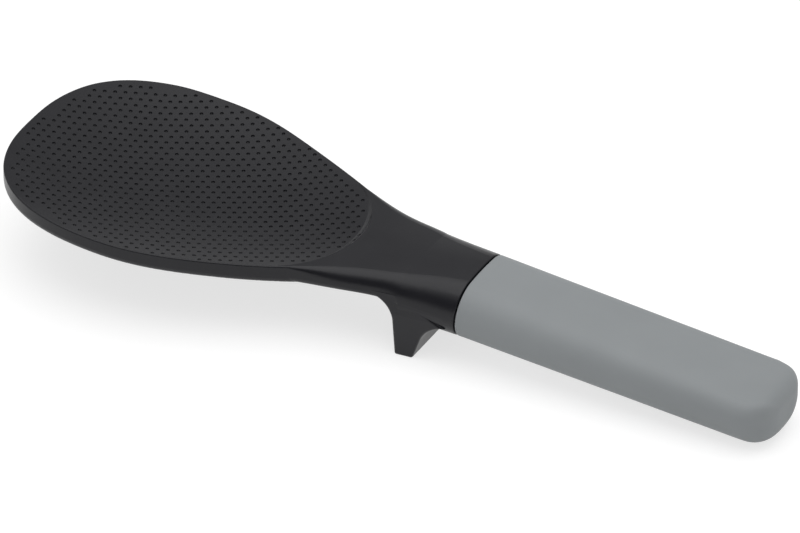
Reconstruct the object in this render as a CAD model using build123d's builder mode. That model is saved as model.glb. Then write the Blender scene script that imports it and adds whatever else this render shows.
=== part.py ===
# Rice paddle: a dished black blade, neck and tool rest in one moulding, and a
# soft grey grip over a core that holds a steel ballast bar.
# Millimetres. +X runs from the tip to the butt and +Z is up. The paddle lies
# on its tool rest and its butt, with the blade held clear of the worktop.
# The origin is on the worktop, below the middle of the length.
from build123d import *
from math import acos, asin, copysign, cos, degrees, radians, sin, sqrt, tan
import os

os.makedirs("parts", exist_ok=True)

# overall
overall_length = 240.8
tip_x = -overall_length / 2
butt_x = overall_length / 2
overrun = 4.0                # how far a cutting or trimming shape runs past its face
sink = 0.05                  # how deep one shape of a moulding starts inside another

# blade outline, seen from above
blade_half_width = 40.2
widest_x = -77.9
tip_fullness = 2.48          # exponent: 2 is an ellipse, more is squarer
tip_turns = (0, 12, 28, 46, 68, 90)
waist_x = -47.6
waist_half_width = 33.4
root_x = -23.9               # where the blade ends and the neck begins
root_half_width = 22.9
tuck_x = -7.9                # the blade plate ends here, inside the neck
tuck_half_width = 12.0

# blade surfaces, as heights above the worktop
floor_low_x = -46.9
floor_low = 21.9
floor_tip_rise = 8.8
floor_tip_power = 2.15
floor_root_rise = 0.75
dish_radius_tip = 290.0
dish_radius_root = 146.0
belly_root_x = -27.9
belly_root = 18.2
belly_tip_rise = 6.8
belly_power = 1.68
belly_radius = 700.0
belly_round = 2.0
rim_round = 0.4

# dish end, the round slope where the dish stops in the neck
dish_end_centre_x = -42.0
dish_end_radius = 28.7       # at the neck's top
dish_end_edge = 25.0         # height of the neck's top there
dish_end_slope = 5.5         # hollow radius of the slope
dish_end_depth = 2.1         # how far the slope comes down
dish_end_low = 21.5          # below the dish floor
dish_open_x = -28.0          # from here to the tip the dish is open to its rim

# neck and handle, section by section from the blade to the butt: place, half
# width, top, bottom, radius of the shoulders and of the hips below them, then
# radius of the crown on top and of the keel, which is the rounded underside
heel_x = -45.9
heel_half_width = 31.5
heel_top = 24.6
heel_bottom = 19.4
heel_shoulder = 0.5
heel_hip = 1.8
heel_crown = 600.0
heel_keel = 600.0

flare_x = -34.9
flare_half_width = 27.5
flare_top = 24.7
flare_bottom = 18.9
flare_shoulder = 0.5
flare_hip = 1.8
flare_crown = 600.0
flare_keel = 600.0

collar_half_width = 22.95
collar_top = 24.85
collar_bottom = 18.6
collar_shoulder = 0.6
collar_hip = 2.0
collar_crown = 600.0
collar_keel = 600.0

throat_x = -12.9
throat_half_width = 19.85
throat_top = 24.95
throat_bottom = 17.9
throat_shoulder = 3.4
throat_hip = 2.0
throat_crown = 300.0
throat_keel = 400.0

nape_x = -3.4
nape_half_width = 17.6
nape_top = 25.2
nape_bottom = 18.0
nape_shoulder = 4.6
nape_hip = 1.4
nape_crown = 180.0
nape_keel = 400.0

rest_x = 7.1
rest_half_width = 16.3
rest_top = 25.6
rest_bottom = 16.6           # in front of here the neck is a shallow bar
rest_shoulder = 6.4
rest_hip = 1.4
rest_crown = 92.0
rest_keel = 400.0
rear_hip = 6.8               # hips and underside of the deep rear of the neck
rear_keel = 28.0

seam_x = 24.1
seam_half_width = 15.1
seam_top = 26.1
seam_bottom = 7.1
seam_shoulder = 9.1
seam_hip = 7.4
seam_crown = 70.0
seam_keel = 24.2
lead_x = 2 * seam_x - rest_x

butt_half_width = 14.45
butt_top = 17.15
butt_shoulder = 4.6
butt_hip = 10.6
butt_crown = 70.0
butt_keel = 23.7
butt_top_round = 4.7         # rounding of the butt's top edge
butt_low_round = 7.8         # rounding of its bottom edge
butt_corner = 10.0           # rounding of its corners, seen from above
butt_edge_share = 0.25       # what is left of the shoulders and hips at its end

# tool rest under the neck
rest_front_x = 5.4
rest_thickness = 5.5
rest_front_lean = 0.3
rest_front_fillet = 8.0
rest_back_run = 2.3
rest_back_rise = 6.4
rest_back_fillet = 10.0
rest_back_turn = 62.0        # degrees
rest_side_draft = 4.0        # degrees, as far up as where the sides turn upright
rest_side_inset = 0.12       # how far its sides lie inside the neck's
rest_upright = 14.2          # height where the sides turn upright
rest_root = 19.3             # height where its front runs out under the neck
rest_seat = 20.5             # height of its hidden top, inside the neck
rest_edge_round = 0.6
rest_side_round = 0.8

# seam and inner fits
seam_gap = 0.4
seam_lean = 4.5              # degrees: the seam is square to the handle's axis
seam_round = 0.5
fit = 0.1
grip_wall = 2.2
butt_wall = 6.0
tang_length = 40.0
tang_width = 16.0
tang_height = 7.0
tang_corner = 1.2
core_web = 5.9               # what the core keeps between the tang and the ballast
ballast_width = 15.0
ballast_height = 7.0
ballast_edge = 0.8

reach = blade_half_width + overrun
ceiling = floor_low + floor_tip_rise + overrun


def floor_height(x):
    """Height of the dish floor on the centre line."""
    if x < floor_low_x:
        share = (floor_low_x - x) / (floor_low_x - tip_x)
        return floor_low + floor_tip_rise * share**floor_tip_power
    share = (x - floor_low_x) / (root_x - floor_low_x)
    return floor_low + floor_root_rise * share**2


def belly_height(x):
    """Height of the underside on the centre line."""
    share = max(belly_root_x - x, 0) / (belly_root_x - tip_x)
    return belly_root + belly_tip_rise * share**belly_power


def dish_radius(x):
    """Radius of the dish across the blade: flatter at the tip."""
    share = (x - tip_x) / (root_x - tip_x)
    return dish_radius_tip * (dish_radius_root / dish_radius_tip) ** share


def sag(radius, half_chord):
    """How far an arc rises over half its chord."""
    return radius - sqrt(radius**2 - half_chord**2)


def blade_section(x):
    """Crescent across the blade: dished above, gently round below."""
    floor, keel = floor_height(x), belly_height(x)
    edge = floor + sag(dish_radius(x), reach)
    hem = keel + sag(belly_radius, reach)
    with BuildSketch(Plane.YZ.offset(x)) as section:
        with BuildLine():
            ThreePointArc((-reach, edge), (0, floor), (reach, edge))
            Line((reach, edge), (reach, hem))
            ThreePointArc((reach, hem), (0, keel), (-reach, hem))
            Line((-reach, hem), (-reach, edge))
        make_face()
    return section.sketch


def void_section(x):
    """The space over the dish floor, begun just inside the blade."""
    floor = floor_height(x) - sink
    edge = floor + sag(dish_radius(x), reach)
    roof = ceiling + overrun
    with BuildSketch(Plane.YZ.offset(x)) as section:
        with BuildLine():
            ThreePointArc((-reach, edge), (0, floor), (reach, edge))
            Polyline((reach, edge), (reach, roof), (-reach, roof), (-reach, edge))
        make_face()
    return section.sketch


def handle_section(x, half, top, bottom, shoulder, hip, crown, keel, inset=0.0):
    """Crowned top, round shoulders, upright sides, hips and a round underside."""
    half, top, bottom = half - inset, top - inset, bottom + inset
    shoulder, hip = shoulder - inset, hip - inset
    crown, keel = crown - inset, keel - inset
    shoulder_z = top - crown + sqrt((crown - shoulder) ** 2 - (half - shoulder) ** 2)
    hip_z = bottom + keel - sqrt((keel - hip) ** 2 - (half - hip) ** 2)
    top_y = crown * (half - shoulder) / (crown - shoulder)
    top_z = top - sag(crown, top_y)
    low_y = keel * (half - hip) / (keel - hip)
    low_z = bottom + sag(keel, low_y)
    with BuildSketch(Plane.YZ.offset(x)) as section:
        with BuildLine():
            ThreePointArc((-top_y, top_z), (0, top), (top_y, top_z))
            ThreePointArc((-low_y, low_z), (0, bottom), (low_y, low_z))
            for side in (-half, half):
                Line((side, shoulder_z), (side, hip_z))
                TangentArc((side, shoulder_z), (copysign(top_y, side), top_z), tangent=(0, 1))
                TangentArc((side, hip_z), (copysign(low_y, side), low_z), tangent=(0, -1))
        make_face()
    return section.sketch


def underside_height(x):
    """The grip's underside, straight from the seam to where it touches the worktop."""
    return seam_bottom * (butt_x - butt_low_round - x) / (butt_x - butt_low_round - seam_x)


def grip_section(x, inset=0.0, side_in=0.0, top_in=0.0, low_in=0.0, edge_share=1.0):
    """Straight taper from the seam to the butt, carried on past either end."""
    share = (x - seam_x) / (butt_x - butt_low_round - seam_x)

    def taper(at_seam, at_butt):
        return at_seam + (at_butt - at_seam) * share

    return handle_section(
        x,
        taper(seam_half_width, butt_half_width) - side_in,
        taper(seam_top, butt_top) - top_in,
        underside_height(x) + low_in,
        taper(seam_shoulder, butt_shoulder) * edge_share,
        taper(seam_hip, butt_hip) * edge_share,
        taper(seam_crown, butt_crown),
        taper(seam_keel, butt_keel),
        inset,
    )


def butt_section(turn):
    """The rounded end, drawn in by quarter turns about its corners and edges."""
    drawn = 1 - cos(radians(turn))
    left = butt_corner * (1 - sin(radians(turn)))
    return grip_section(
        butt_x - left,
        side_in=butt_corner * drawn,
        top_in=sag(butt_top_round, max(butt_top_round - left, 0)),
        low_in=sag(butt_low_round, max(butt_low_round - left, 0)),
        edge_share=1 - (1 - butt_edge_share) * drawn,
    )


seam_plane = Plane(
    origin=(seam_x, 0, (seam_top + seam_bottom) / 2),
    x_dir=(0, 1, 0),
    z_dir=(cos(radians(seam_lean)), 0, -sin(radians(seam_lean))),
)
length_to_root = root_x - tip_x
station_shares = [-0.06, 0.08, 0.24, 0.44, 0.64, 0.84, 1.0, 1.2]
stations = [tip_x + share * length_to_root for share in station_shares]
touch_turn = degrees(asin(1 - butt_low_round / butt_corner))
curl_turn = degrees(asin(1 - butt_top_round / butt_corner))
end_turn = degrees(asin(1))
butt_turns = [
    0,
    touch_turn,
    (touch_turn + curl_turn) / 2,
    curl_turn,
    (2 * curl_turn + end_turn) / 3,
    (curl_turn + 2 * end_turn) / 3,
    (curl_turn + 5 * end_turn) / 6,
    end_turn,
]

# blade plate, trimmed to the outline
with BuildPart() as plate:
    loft(sections=[blade_section(x) for x in stations])
    with BuildSketch():
        with BuildLine():
            tip_curve = [
                (
                    widest_x - (widest_x - tip_x) * cos(radians(angle)) ** (2 / tip_fullness),
                    blade_half_width * sin(radians(angle)) ** (2 / tip_fullness),
                )
                for angle in tip_turns
            ]
            Spline(*tip_curve, tangents=((0, 1), (1, 0)))
            Spline(
                (widest_x, blade_half_width),
                (waist_x, waist_half_width),
                (root_x, root_half_width),
                (tuck_x, tuck_half_width),
                tangents=((1, 0), (1, -1)),
            )
            Line((tuck_x, tuck_half_width), (tuck_x, 0))
            mirror(about=Plane.XZ)
        make_face()
    extrude(amount=ceiling, mode=Mode.INTERSECT)
    underside = plate.faces().sort_by(SortBy.AREA)[-2:].sort_by(Axis.Z)[0]
    fillet(underside.edges(), belly_round)
    floor = plate.faces().sort_by(SortBy.AREA)[-1]
    fillet(floor.edges(), rim_round)

# plan of the dish: open at the blade, and round with a hollow slope in the neck
with BuildPart() as basin:
    with BuildSketch(Plane.XZ):
        with BuildLine():
            turned = acos(1 - dish_end_depth / dish_end_slope)
            lip_x = dish_end_centre_x - dish_end_radius
            hollow_start = (
                lip_x + dish_end_slope * sin(turned),
                dish_end_edge - dish_end_depth,
            )
            slope = JernArc(hollow_start, (-1, 0), dish_end_slope, -degrees(turned))
            top = slope @ 1 + slope % 1 * overrun * 2
            Polyline(
                slope @ 1,
                top,
                (dish_end_centre_x, top.Y),
                (dish_end_centre_x, dish_end_low),
                (hollow_start[0], dish_end_low),
                hollow_start,
            )
        make_face()
    revolve(axis=Axis((dish_end_centre_x, 0, 0), (0, 0, 1)))
    with BuildSketch(Plane.XY):
        with BuildLine():
            Polyline(
                (dish_open_x, -reach),
                (dish_open_x, reach),
                (tip_x, reach),
                (tip_x, -reach),
                close=True,
            )
        make_face()
    extrude(amount=ceiling + overrun)

# everything over the dish floor, as far as the slope in the neck
with BuildPart() as void:
    loft(sections=[void_section(x) for x in stations])
    add(basin.part, mode=Mode.INTERSECT)

# front of the neck: a shallow bar that flares into the blade
with BuildPart() as front_neck:
    loft(
        sections=[
            handle_section(heel_x, heel_half_width, heel_top, heel_bottom,
                           heel_shoulder, heel_hip, heel_crown, heel_keel),
            handle_section(flare_x, flare_half_width, flare_top, flare_bottom,
                           flare_shoulder, flare_hip, flare_crown, flare_keel),
            handle_section(root_x, collar_half_width, collar_top, collar_bottom,
                           collar_shoulder, collar_hip, collar_crown, collar_keel),
            handle_section(throat_x, throat_half_width, throat_top, throat_bottom,
                           throat_shoulder, throat_hip, throat_crown, throat_keel),
            handle_section(nape_x, nape_half_width, nape_top, nape_bottom,
                           nape_shoulder, nape_hip, nape_crown, nape_keel),
            handle_section(rest_x, rest_half_width, rest_top, rest_bottom,
                           rest_shoulder, rest_hip, rest_crown, rest_keel),
        ]
    )

# rear of the neck: as deep as the grip, whose underside it carries on
with BuildPart() as rear_neck:
    loft(
        sections=[
            handle_section(nape_x, nape_half_width, nape_top, underside_height(nape_x),
                           nape_shoulder, rear_hip, nape_crown, rear_keel),
            handle_section(rest_x, rest_half_width, rest_top, underside_height(rest_x),
                           rest_shoulder, rear_hip, rest_crown, rear_keel),
            grip_section(seam_x),
            grip_section(lead_x),
        ]
    )
    split(bisect_by=Plane.YZ.offset(rest_x), keep=Keep.TOP)


def rest_plan(z):
    """The tool rest from above: sides that follow the neck's and lean in."""
    inset = rest_side_inset + (rest_upright - z) * tan(radians(rest_side_draft))
    with BuildSketch(Plane.XY.offset(z)) as section:
        with BuildLine():
            for side in (-1, 1):
                Spline(
                    (throat_x, side * (throat_half_width - inset)),
                    (nape_x, side * (nape_half_width - inset)),
                    (rest_x, side * (rest_half_width - inset)),
                    (seam_x, side * (seam_half_width - inset)),
                )
            for x, half in ((throat_x, throat_half_width), (seam_x, seam_half_width)):
                Line((x, inset - half), (x, half - inset))
        make_face()
    return section.sketch


# tool rest: its plan, kept inside its side view
with BuildPart() as foot:
    loft(sections=[rest_plan(0), rest_plan(rest_upright)], ruled=True)
    extrude(rest_plan(rest_upright), amount=rest_seat - rest_upright)
    with BuildSketch(Plane.XZ):
        with BuildLine():
            front = rest_front_x - rest_front_lean
            back = rest_front_x + rest_thickness
            knee = (back + rest_back_run, rest_back_rise)
            spring = (front, rest_root - rest_front_fillet)
            Polyline((back, 0), (rest_front_x, 0), spring)
            JernArc(spring, (0, 1), rest_front_fillet, 90)
            climb = Line((back, 0), knee)
            sweep_back = JernArc(knee, climb % 1, rest_back_fillet, -rest_back_turn)
            Polyline(
                sweep_back @ 1,
                (rest_x, rest_seat),
                (front - rest_front_fillet, rest_seat),
                (front - rest_front_fillet, rest_root),
            )
        make_face()
    extrude(amount=reach, both=True, mode=Mode.INTERSECT)
    side_edges = [
        edge
        for edge in foot.edges()
        if 0 < edge.center().Z < rest_bottom and abs(edge.center().Y) > rest_thickness
    ]
    fillet(side_edges, rest_side_round)
    fillet(foot.edges().group_by(Axis.Z)[0], rest_edge_round)

# the black moulding: blade, neck, tool rest and the tang hidden in the handle
with BuildPart() as paddle:
    add(front_neck.part)
    add(rear_neck.part)
    split(bisect_by=seam_plane, keep=Keep.BOTTOM)
    add(void.part, mode=Mode.SUBTRACT)
    add(plate.part)
    add(foot.part)
    with BuildSketch(seam_plane.offset(-overrun)):
        RectangleRounded(tang_width, tang_height, tang_corner)
    extrude(amount=tang_length + overrun)
paddle.part.label = "paddle"
export_step(paddle.part, "parts/paddle.step")


def grip_form(end_x, inset=0.0):
    """The grip's straight form, thinner all round by the wall that is left outside it."""
    ends = [grip_section(seam_x - overrun, inset), grip_section(end_x, inset)]
    return loft(sections=ends, ruled=True)


# core: rigid, with a socket for the tang and a pocket for the ballast
core_length = (butt_x - seam_x) / cos(radians(seam_lean)) - butt_wall
core_end = seam_plane.offset(core_length)
ballast_length = core_length - tang_length - fit - core_web
with BuildPart() as core:
    grip_form(butt_x + overrun, grip_wall + fit)
    split(bisect_by=seam_plane, keep=Keep.TOP)
    split(bisect_by=core_end, keep=Keep.BOTTOM)
    with BuildSketch(seam_plane):
        RectangleRounded(tang_width + 2 * fit, tang_height + 2 * fit, tang_corner + fit)
    extrude(amount=tang_length + fit, mode=Mode.SUBTRACT)
    with BuildSketch(core_end):
        RectangleRounded(ballast_width + 2 * fit, ballast_height + 2 * fit, ballast_edge + fit)
    extrude(amount=-ballast_length, mode=Mode.SUBTRACT)
core.part.label = "core"
export_step(core.part, "parts/core.step")

# ballast bar: fills its pocket to the core's end
with BuildPart() as ballast:
    with BuildSketch(core_end):
        RectangleRounded(ballast_width, ballast_height, ballast_edge)
    extrude(amount=-ballast_length)
ballast.part.label = "ballast"
export_step(ballast.part, "parts/ballast.step")

# space inside the grip, a little larger than the core
with BuildPart() as cavity:
    grip_form(butt_x + overrun, grip_wall)
    split(bisect_by=core_end, keep=Keep.BOTTOM)

# grip: a soft closed sleeve, rounded at the butt
with BuildPart() as grip:
    grip_form(butt_x - butt_corner)
    loft(sections=[butt_section(turn) for turn in butt_turns])
    split(bisect_by=seam_plane.offset(seam_gap), keep=Keep.TOP)
    fillet(grip.faces().sort_by(Axis.X)[0].edges(), seam_round)
    add(cavity.part, mode=Mode.SUBTRACT)
grip.part.label = "grip"
export_step(grip.part, "parts/grip.step")
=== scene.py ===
import bpy
from math import cos, pi, radians, sin, sqrt
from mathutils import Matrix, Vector
from mathutils.bvhtree import BVHTree
from mathutils.interpolate import poly_3d_calc


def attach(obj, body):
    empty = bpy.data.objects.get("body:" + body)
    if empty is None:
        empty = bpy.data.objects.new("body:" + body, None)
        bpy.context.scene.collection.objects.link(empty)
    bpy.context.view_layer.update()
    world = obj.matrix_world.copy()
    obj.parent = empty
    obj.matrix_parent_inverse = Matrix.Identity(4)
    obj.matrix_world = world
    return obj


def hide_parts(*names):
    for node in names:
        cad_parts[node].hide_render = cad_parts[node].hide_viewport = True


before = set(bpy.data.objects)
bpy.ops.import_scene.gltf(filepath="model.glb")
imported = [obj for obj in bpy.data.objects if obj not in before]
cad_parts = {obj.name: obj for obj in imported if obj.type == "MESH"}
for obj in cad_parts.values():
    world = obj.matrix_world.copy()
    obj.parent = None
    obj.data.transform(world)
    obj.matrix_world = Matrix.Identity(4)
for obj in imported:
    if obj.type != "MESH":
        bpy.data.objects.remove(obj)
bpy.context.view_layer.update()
mm = 0.001
mergeWithin = 0.002 * mm
clear = 60 * mm  # rays start this far out, beyond the tool
print("frame loaded:", ", ".join(sorted(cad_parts)))


# shader maths: a socket that takes part in expressions
class Wire:
    def __init__(self, tree, socket=None):
        self.tree = tree
        self.socket = socket

    def node(self, kind, settings, sockets, output=0):
        made = self.tree.nodes.new("ShaderNode" + kind)
        for name, value in settings.items():
            if name == "stops":
                for index, (place, colour) in enumerate(value):
                    ends = made.color_ramp.elements
                    stop = ends[index] if index < 2 else ends.new(place)
                    stop.position = place
                    stop.color = (*colour, 1)
            else:
                setattr(made, name, value)
        for name, value in sockets.items():
            if isinstance(value, Wire):
                self.tree.links.new(value.socket, made.inputs[name])
            else:
                made.inputs[name].default_value = value
        return Wire(self.tree, made.outputs[output] if made.outputs else None)

    def arithmetic(self, operation, first, second):
        return self.node("Math", {"operation": operation}, {0: first, 1: second})

    def __add__(self, other):
        return self.arithmetic("ADD", self, other)

    def __radd__(self, other):
        return self.arithmetic("ADD", other, self)

    def __sub__(self, other):
        return self.arithmetic("SUBTRACT", self, other)

    def __rsub__(self, other):
        return self.arithmetic("SUBTRACT", other, self)

    def __mul__(self, other):
        return self.arithmetic("MULTIPLY", self, other)

    def __rmul__(self, other):
        return self.arithmetic("MULTIPLY", other, self)

    def blend(self, first, second):
        return self.node("Mix", {"data_type": "RGBA"}, {0: self, 6: first, 7: second}, 2)


def newMaterial(name):
    material = bpy.data.materials.new(name)
    material.use_nodes = True
    material.node_tree.nodes.clear()
    return material, Wire(material.node_tree)


def endMaterial(wire, shader):
    wire.node("OutputMaterial", {}, {"Surface": shader})


def tone(red, green, blue):  # a colour as a picture editor shows it, made linear
    shares = (red / 255, green / 255, blue / 255)
    linear = [share / 12.92 if share < 0.04 else ((share + 0.055) / 1.055) ** 2.4
              for share in shares]
    return (*linear, 1)


def grain(wire, size, detail=2):  # noise on the object's own metres
    place = wire.node("TexCoord", {}, {}, "Object")
    return wire.node("TexNoise", {}, {"Vector": place, "Scale": 1 / size, "Detail": detail})


def mouldedFinish(name, look):  # a mottled colour and gloss over a fine grain
    material, wire = newMaterial(name)
    mottle = grain(wire, look["mottle"], look["mottleDetail"])
    bump = wire.node("Bump", {}, {
        "Strength": look["grainStrength"],
        "Distance": look["grainDepth"],
        "Height": grain(wire, look["grain"], look["grainDetail"]),
    })
    endMaterial(wire, wire.node("BsdfPrincipled", {}, {
        "Base Color": mottle.blend(look["tint"], look["mottleTint"]),
        "Roughness": look["roughness"] + (mottle - 0.5) * look["roughnessSpread"],
        "Normal": bump,
        **look["constants"],
    }))
    return material


def deselect():
    if bpy.context.object and bpy.context.object.mode != "OBJECT":
        bpy.ops.object.mode_set(mode="OBJECT")
    bpy.ops.object.select_all(action="DESELECT")


def pick(piece):
    deselect()
    piece.select_set(True)
    bpy.context.view_layer.objects.active = piece


def applyAll(piece):
    pick(piece)
    for modifier in list(piece.modifiers):
        bpy.ops.object.modifier_apply(modifier=modifier.name)


def selectByPlace(piece, wanted):  # leaves the piece in edit mode, its wanted points selected
    pick(piece)
    bpy.ops.object.mode_set(mode="EDIT")
    bpy.ops.mesh.select_mode(type="VERT")
    bpy.ops.mesh.select_all(action="DESELECT")
    bpy.ops.object.mode_set(mode="OBJECT")
    for vert in piece.data.vertices:
        vert.select = wanted(vert.co)
    bpy.ops.object.mode_set(mode="EDIT")


def mergedCopy(node, name):  # a node's mesh as a new piece, with its doubles merged
    deselect()
    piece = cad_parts[node].copy()
    piece.data = piece.data.copy()
    piece.name = piece.data.name = name
    piece.parent = None
    for key in list(piece.keys()):
        if key.startswith("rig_"):
            del piece[key]
    bpy.context.scene.collection.objects.link(piece)
    pick(piece)
    bpy.ops.object.mode_set(mode="EDIT")
    bpy.ops.mesh.select_all(action="SELECT")
    bpy.ops.mesh.remove_doubles(threshold=mergeWithin)
    bpy.ops.object.mode_set(mode="OBJECT")
    return piece


# black moulding: blade, neck and tool rest
nylon = {
    "tint": tone(25, 25, 29),
    "mottleTint": tone(31, 31, 35),
    "mottle": 9 * mm,
    "mottleDetail": 3,
    "roughness": 0.33,
    "roughnessSpread": 0.08,
    "grain": 0.35 * mm,
    "grainDetail": 2,
    "grainDepth": 0.006 * mm,
    "grainStrength": 0.5,
    "constants": {"Specular IOR Level": 0.3},
}
nylonWithPaintedShade = {  # painted shade: the dimples get a darker tint than the open surface, standing in for the shade in their hollows, and they reflect less
    **nylon,
    "tint": tone(18, 18, 21),
    "mottleTint": nylon["tint"],
    "constants": {"Specular IOR Level": 0.17},
}
moulding = {
    # dimples, each cut by one ball, in rows across the blade
    "pitch": 2.9 * mm,
    "firstRow": -117.62 * mm,
    "rows": 42,
    "rowLength": 29,
    "ball": 0.61 * mm,
    "ballSegments": 10,
    "ballRings": 7,
    "ballAbove": 0.1 * mm,  # a ball's middle above the dish
    "leastUp": 0.55,  # how far up the dish has to face under a ball
    # the bare border inside the rim, broader round the tip
    "border": 1.2 * mm,
    "borderProbes": 12,
    "borderRise": 0.25,  # the most that the dish may rise or fall over it
    "tipBorder": 2.6 * mm,
    "tipBorderFrom": -72 * mm,
    "tipBorderWholly": -97 * mm,
    # the dish's end in the neck, on a circle
    "endMiddle": -42 * mm,
    "endFrom": -30 * mm,
    "endDimples": 27.6 * mm,
    "endEdge": 28.7 * mm,
    "endEdgeWithin": 0.1 * mm,
    "endEdgeAbove": 24.4 * mm,
    "endSharper": radians(6),
    "endRound": 0.35 * mm,
    # the leaning seam at the grip, behind which the tang stays sharp
    "seamMiddle": Vector((24.1, 0, 16.6)) * mm,
    "seamLean": radians(4.5),
    "seamWithin": 0.01 * mm,
    "seamSharper": radians(40),
    "seamRound": 0.3 * mm,
    "tangWide": 10 * mm,
    "tangHigh": 5 * mm,
    "roundSegments": 3,
    # shading, looked up on the frame's surface
    "onSurface": 0.01 * mm,
    "offSurface": 0.004 * mm,  # a face with its middle this far off lies in a dimple
    "lookInwards": 0.05,  # from a corner towards the middle of its face
    # the blade's outline from its tip to its widest place
    "tip": -120.4 * mm,
    "widest": -77.9 * mm,
    "halfWidth": 40.2 * mm,
    "fullness": 2.48,
    "easeFrom": -116 * mm,
    "easeWholly": -112 * mm,
    "wallHeight": 26.1 * mm,
    "wallRise": 0.0915,
}
blackNylon = mouldedFinish("blackNylon", nylon)
# painted shade: a darker nylon for the faces inside the dimples
dimpleNylonPaintedShade = mouldedFinish("dimpleNylonPaintedShade", nylonWithPaintedShade)
paddle = mergedCopy("paddle", "paddleMoulding")


def roundEdges(piece, wanted, sharper, width):  # bevels the sharp edges that lie where wanted
    sidesOf = {}
    for face in piece.data.polygons:
        for key in face.edge_keys:
            sidesOf.setdefault(key, []).append(face.normal)
    chosen = []
    for edge in piece.data.edges:
        sides = sidesOf[edge.key]
        sharp = len(sides) == 2 and sides[0].angle(sides[1], 0) > sharper
        if sharp and all(wanted(piece.data.vertices[k].co) for k in edge.vertices):
            chosen.append(edge.index)
    selectByPlace(piece, lambda co: False)
    bpy.ops.mesh.select_mode(type="EDGE")
    bpy.ops.object.mode_set(mode="OBJECT")
    for index in chosen:
        piece.data.edges[index].select = True
    bpy.ops.object.mode_set(mode="EDIT")
    bpy.ops.mesh.bevel(offset=width, offset_type="OFFSET", segments=moulding["roundSegments"],
                       affect="EDGES", clamp_overlap=True)
    bpy.ops.object.mode_set(mode="OBJECT")
    return len(chosen)


def onSeam(co):
    away = co - moulding["seamMiddle"]
    across = away.x * cos(moulding["seamLean"]) - away.z * sin(moulding["seamLean"])
    offTang = abs(away.y) > moulding["tangWide"] or abs(away.z) > moulding["tangHigh"]
    return abs(across) < moulding["seamWithin"] and offTang


def onDishEnd(co):
    away = Vector((co.x - moulding["endMiddle"], co.y)).length
    onEdge = abs(away - moulding["endEdge"]) < moulding["endEdgeWithin"]
    return co.x > moulding["endFrom"] and co.z > moulding["endEdgeAbove"] and onEdge


# moulded edges that catch the light
rounded = roundEdges(paddle, onSeam, moulding["seamSharper"], moulding["seamRound"])
rounded += roundEdges(paddle, onDishEnd, moulding["endSharper"], moulding["endRound"])
print("moulded edges rounded:", rounded)

# one ball for one dimple, repeated along a row, then every other row half a pitch aside
rowPitch = moulding["pitch"] * sqrt(3) / 2
rowStart = -moulding["pitch"] * (moulding["rowLength"] // 2)
deselect()
bpy.ops.mesh.primitive_uv_sphere_add(
    segments=moulding["ballSegments"], ring_count=moulding["ballRings"],
    radius=moulding["ball"], location=(moulding["firstRow"], rowStart, 0))
balls = bpy.context.object
balls.name = "dimpleBalls"
bpy.ops.object.transform_apply(location=True)
perBall = len(balls.data.vertices)
for name, count, offset in (
    ("alongRow", moulding["rowLength"], (0, moulding["pitch"], 0)),
    ("nextRow", 2, (rowPitch, moulding["pitch"] / 2, 0)),
    ("moreRows", moulding["rows"] // 2, (2 * rowPitch, 0, 0)),
):
    array = balls.modifiers.new(name, "ARRAY")
    array.use_relative_offset = False
    array.use_constant_offset = True
    array.count = count
    array.constant_offset_displace = offset
applyAll(balls)


def dishBelow(start):  # the surface below a place, and whether it faces up enough for a ball
    found, place, normal, _ = paddle.ray_cast(start, Vector((0, 0, -1)))
    return found and normal.z >= moulding["leastUp"], place, normal


def ballPlace(x, y):  # where a ball goes over the dish, or nothing beyond its border
    above = Vector((x, y, clear))
    fits, place, normal = dishBelow(above)
    endAway = Vector((x - moulding["endMiddle"], y)).length
    beyondEnd = x > moulding["endFrom"] and endAway > moulding["endDimples"]
    if not fits or beyondEnd:
        return None
    tipLength = moulding["tipBorderFrom"] - moulding["tipBorderWholly"]
    tipward = min(max((moulding["tipBorderFrom"] - x) / tipLength, 0), 1)
    border = moulding["border"] + (moulding["tipBorder"] - moulding["border"]) * tipward
    for probe in range(moulding["borderProbes"]):
        angle = probe * 2 * pi / moulding["borderProbes"]
        fits, side, _ = dishBelow(above + Vector((cos(angle), sin(angle), 0)) * border)
        if not fits or abs((side - place).normalized().dot(normal)) > moulding["borderRise"]:
            return None
    return place + normal * moulding["ballAbove"]


# each ball moves onto the dish, and those beyond its border go far below and are deleted
farBelow = Vector((0, 0, -1))
dimples = 0
for start in range(0, len(balls.data.vertices), perBall):
    ball = [balls.data.vertices[start + k] for k in range(perBall)]
    middle = sum((vert.co for vert in ball), Vector()) / perBall
    place = ballPlace(middle.x, middle.y)
    for vert in ball:
        vert.co += place - middle if place else farBelow
    dimples += place is not None
selectByPlace(balls, lambda co: co.z < farBelow.z / 2)
bpy.ops.mesh.delete(type="VERT")
bpy.ops.object.mode_set(mode="OBJECT")
cut = paddle.modifiers.new("dimples", "BOOLEAN")
cut.operation = "DIFFERENCE"
cut.solver = "MANIFOLD"
cut.object = balls
applyAll(paddle)
bpy.data.objects.remove(balls)

# the shading follows the frame's surface, and only the dimples shade by their own faces
pick(paddle)
bpy.ops.object.shade_smooth()
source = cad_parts["paddle"].data
sourceFaces = [tuple(face.vertices) for face in source.polygons]
sourceSurface = BVHTree.FromPolygons([vert.co for vert in source.vertices], sourceFaces)


def surfaceNormal(place, probe):  # normal at a place, on the source face nearest to its probe
    _, _, index, away = sourceSurface.find_nearest(probe)
    if away > moulding["onSurface"]:
        return Vector((0, 0, 0))
    face = source.polygons[index]
    shares = poly_3d_calc([source.vertices[k].co for k in face.vertices], place)
    corners = [source.corner_normals[k].vector for k in face.loop_indices]
    weighted = (corner * share for corner, share in zip(corners, shares))
    return sum(weighted, Vector()).normalized()


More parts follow.
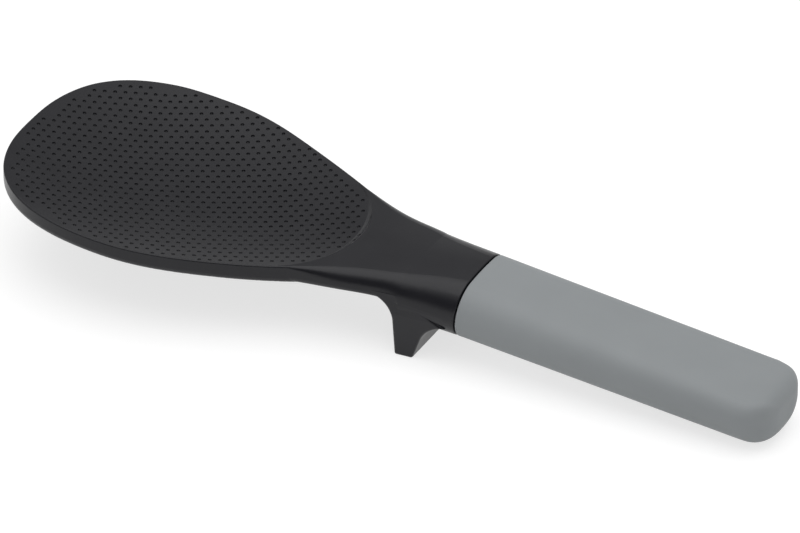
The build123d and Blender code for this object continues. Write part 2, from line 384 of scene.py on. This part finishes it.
shaded, dimpleFaces = [], []
for face in paddle.data.polygons:
    places = [paddle.data.vertices[k].co for k in face.vertices]
    middle = sum(places, Vector()) / len(places)
    offSurface = sourceSurface.find_nearest(middle)[3] > moulding["offSurface"]
    endAway = Vector((max(middle.x - moulding["endMiddle"], 0), middle.y)).length
    inDish = middle.x < moulding["endFrom"] or endAway < moulding["endDimples"] + moulding["ball"]
    if offSurface and inDish:
        dimpleFaces.append(face.index)
    for place in places:
        probe = place if offSurface else place.lerp(middle, moulding["lookInwards"])
        shaded.append(surfaceNormal(place, probe))
paddle.data.normals_split_custom_set(shaded)


def tipEase(x):  # how much wider or narrower the moulding gets at a place along the blade
    if not moulding["easeFrom"] < x < moulding["widest"]:
        return 1.0
    fullness = moulding["fullness"]
    along = (moulding["widest"] - x) / (moulding["widest"] - moulding["tip"])
    wanted = moulding["halfWidth"] * (1 - along ** fullness) ** (1 / fullness)
    wallMiddle = moulding["wallHeight"] + (moulding["widest"] - x) * moulding["wallRise"]
    wall = sourceSurface.ray_cast(Vector((x, clear, wallMiddle)), Vector((0, -1, 0)))[0]
    share = min((x - moulding["easeFrom"]) / (moulding["easeWholly"] - moulding["easeFrom"]), 1)
    return 1 + (wanted / wall.y - 1) * share


for vert in paddle.data.vertices:
    vert.co.y *= tipEase(vert.co.x)
paddle.data.materials.clear()
paddle.data.materials.append(blackNylon)
paddle.data.materials.append(dimpleNylonPaintedShade)
for face in paddle.data.polygons:
    face.material_index = 0
# the faces inside the dimples take the darker nylon, painted shade in the hollows
for index in dimpleFaces:
    paddle.data.polygons[index].material_index = 1
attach(paddle, "root")
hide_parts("paddle")
print("paddle moulding:", dimples, "dimples,", len(paddle.data.polygons), "faces")

# soft grey grip
rubber = {
    "tint": tone(140, 144, 146),
    "mottleTint": tone(135, 139, 141),
    "mottle": 14 * mm,
    "mottleDetail": 3,
    "roughness": 0.62,
    "roughnessSpread": 0.1,
    "grain": 0.3 * mm,
    "grainDetail": 3,
    "grainDepth": 0.008 * mm,
    "grainStrength": 0.5,
    "constants": {"Specular IOR Level": 0.4, "Sheen Weight": 0.08, "Sheen Roughness": 0.5},
}
greySoftTouch = mouldedFinish("greySoftTouch", rubber)
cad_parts["grip"].material_slots[0].material = greySoftTouch

# plastic core, hidden in the grip
core = {
    "tint": tone(44, 44, 44),
    "mottleTint": tone(54, 54, 54),
    "mottle": 6 * mm,
    "roughness": 0.5,
    "roughnessSpread": 0.1,
}
corePlastic, wire = newMaterial("corePlastic")
mottle = grain(wire, core["mottle"])
endMaterial(wire, wire.node("BsdfPrincipled", {}, {
    "Base Color": mottle.blend(core["tint"], core["mottleTint"]),
    "Roughness": core["roughness"] + (mottle - 0.5) * core["roughnessSpread"],
}))
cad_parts["core"].material_slots[0].material = corePlastic

# steel ballast, hidden in the core
ballast = {
    "tint": tone(176, 176, 180),
    "lineTint": tone(196, 196, 200),
    "line": 0.3 * mm,
    "lineStretch": (0.02, 1, 1),  # the bar was drawn along x
    "lineDetail": 2,
    "roughness": 0.3,
    "lineRoughness": 0.12,
}
ballastSteel, wire = newMaterial("ballastSteel")
place = wire.node("TexCoord", {}, {}, "Object")
drawn = wire.node("Mapping", {}, {"Vector": place, "Scale": ballast["lineStretch"]})
lines = wire.node("TexNoise", {}, {
    "Vector": drawn,
    "Scale": 1 / ballast["line"],
    "Detail": ballast["lineDetail"],
})
endMaterial(wire, wire.node("BsdfPrincipled", {}, {
    "Base Color": lines.blend(ballast["tint"], ballast["lineTint"]),
    "Metallic": 1,
    "Roughness": ballast["roughness"] + lines * ballast["lineRoughness"],
}))
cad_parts["ballast"].material_slots[0].material = ballastSteel
print("grip, core and ballast finished")

# table, room, soft light and camera
studio = {
    "tableSize": 12,
    "tableTone": 0.8,
    "tableLevel": 1.3,
    "tableShadow": 0.3,  # share of the table's white that takes shadow
    # grey levels of the room from the horizon, 0, to overhead, 1
    "room": ((0, 0.95), (0.16, 0.7), (0.34, 0.5), (0.54, 0.26), (0.68, 0.62), (1, 0.8)),
    "softboxSize": 1.25,
    "softboxHeight": 1.05,
    "softboxPower": 6.6,
    "cardSize": (3, 0.62),
    "cardAway": 0.5,
    "cardAbove": 0.03,
    "cardTone": 0.02,
    "aim": Vector((-12.7, 22.0, 1.6)) * mm,
    "azimuth": radians(28.37),
    "elevation": radians(33.92),
    "distance": 2680.5 * mm,
    "lens": 425.7,
    "sensor": 36,
    "nearest": 0.1,
    "farthest": 50,
}


def grey(level):
    return level, level, level, 1


deselect()
bpy.ops.mesh.primitive_plane_add(size=studio["tableSize"], location=(0, 0, 0))
table = bpy.context.object
table.name = "table"
tableWhite, wire = newMaterial("tableWhite")
cameraRay = wire.node("LightPath", {}, {}, "Is Camera Ray")
glossyRay = wire.node("LightPath", {}, {}, "Is Glossy Ray")
throughRay = wire.node("LightPath", {}, {}, "Is Transmission Ray")
plain = wire.node("BsdfDiffuse", {}, {"Color": grey(studio["tableTone"])})
lit = wire.node("BsdfDiffuse", {}, {"Color": grey(studio["tableLevel"])})
glow = wire.node("Emission", {}, {"Color": grey(1), "Strength": 1})
white = wire.node("MixShader", {}, {0: studio["tableShadow"], 1: glow, 2: lit})
looks = {0: cameraRay + glossyRay, 1: throughRay}
seen = wire.node("Math", {"operation": "ADD", "use_clamp": True}, looks)
endMaterial(wire, wire.node("MixShader", {}, {0: seen, 1: plain, 2: white}))
table.data.materials.append(tableWhite)

world = bpy.data.worlds.new("room")
bpy.context.scene.world = world
world.use_nodes = True
world.node_tree.nodes.clear()
wire = Wire(world.node_tree)
way = wire.node("TexCoord", {}, {}, "Generated")
height = wire.node("SeparateXYZ", {}, {0: way}, 2)
stops = [(place, (level,) * 3) for place, level in studio["room"]]
shade = wire.node("ValToRGB", {"stops": stops}, {0: height})
room = wire.node("Background", {}, {"Color": shade, "Strength": 1})
wire.node("OutputWorld", {}, {"Surface": room})

lamp = bpy.data.lights.new("softbox", "AREA")
lamp.shape = "SQUARE"
lamp.size = studio["softboxSize"]
lamp.energy = studio["softboxPower"]
softbox = bpy.data.objects.new("softbox", lamp)
softbox.location = (0, 0, studio["softboxHeight"])
bpy.context.scene.collection.objects.link(softbox)

# a dark card on the near side gives the black sides their dark line
azimuth, elevation = studio["azimuth"], studio["elevation"]
nearSide = Vector((sin(azimuth), -cos(azimuth), 0))
cardWide, cardHigh = studio["cardSize"]
cardMiddle = Vector((0, 0, cardHigh / 2 + studio["cardAbove"]))
deselect()
bpy.ops.mesh.primitive_plane_add(size=1, location=nearSide * studio["cardAway"] + cardMiddle,
                                 rotation=(pi / 2, 0, azimuth))
card = bpy.context.object
card.name = "darkCard"
card.scale = (cardWide, cardHigh, 1)
bpy.ops.object.transform_apply(location=True, rotation=True, scale=True)
cardBlack, wire = newMaterial("cardBlack")
endMaterial(wire, wire.node("BsdfDiffuse", {}, {"Color": grey(studio["cardTone"])}))
card.data.materials.append(cardBlack)
card.visible_camera = False
card.visible_shadow = False
card.visible_diffuse = False

flat, up = cos(elevation), sin(elevation)
backwards = Vector((sin(azimuth) * flat, -cos(azimuth) * flat, up))
camera = bpy.data.objects.new("camera", bpy.data.cameras.new("camera"))
camera.data.lens = studio["lens"]
camera.data.sensor_width = studio["sensor"]
camera.data.clip_start = studio["nearest"]
camera.data.clip_end = studio["farthest"]
camera.location = studio["aim"] + backwards * studio["distance"]
camera.rotation_euler = (pi / 2 - elevation, 0, azimuth)
bpy.context.scene.collection.objects.link(camera)
bpy.context.scene.camera = camera
bpy.context.scene.view_settings.view_transform = "Standard"
print("studio ready")
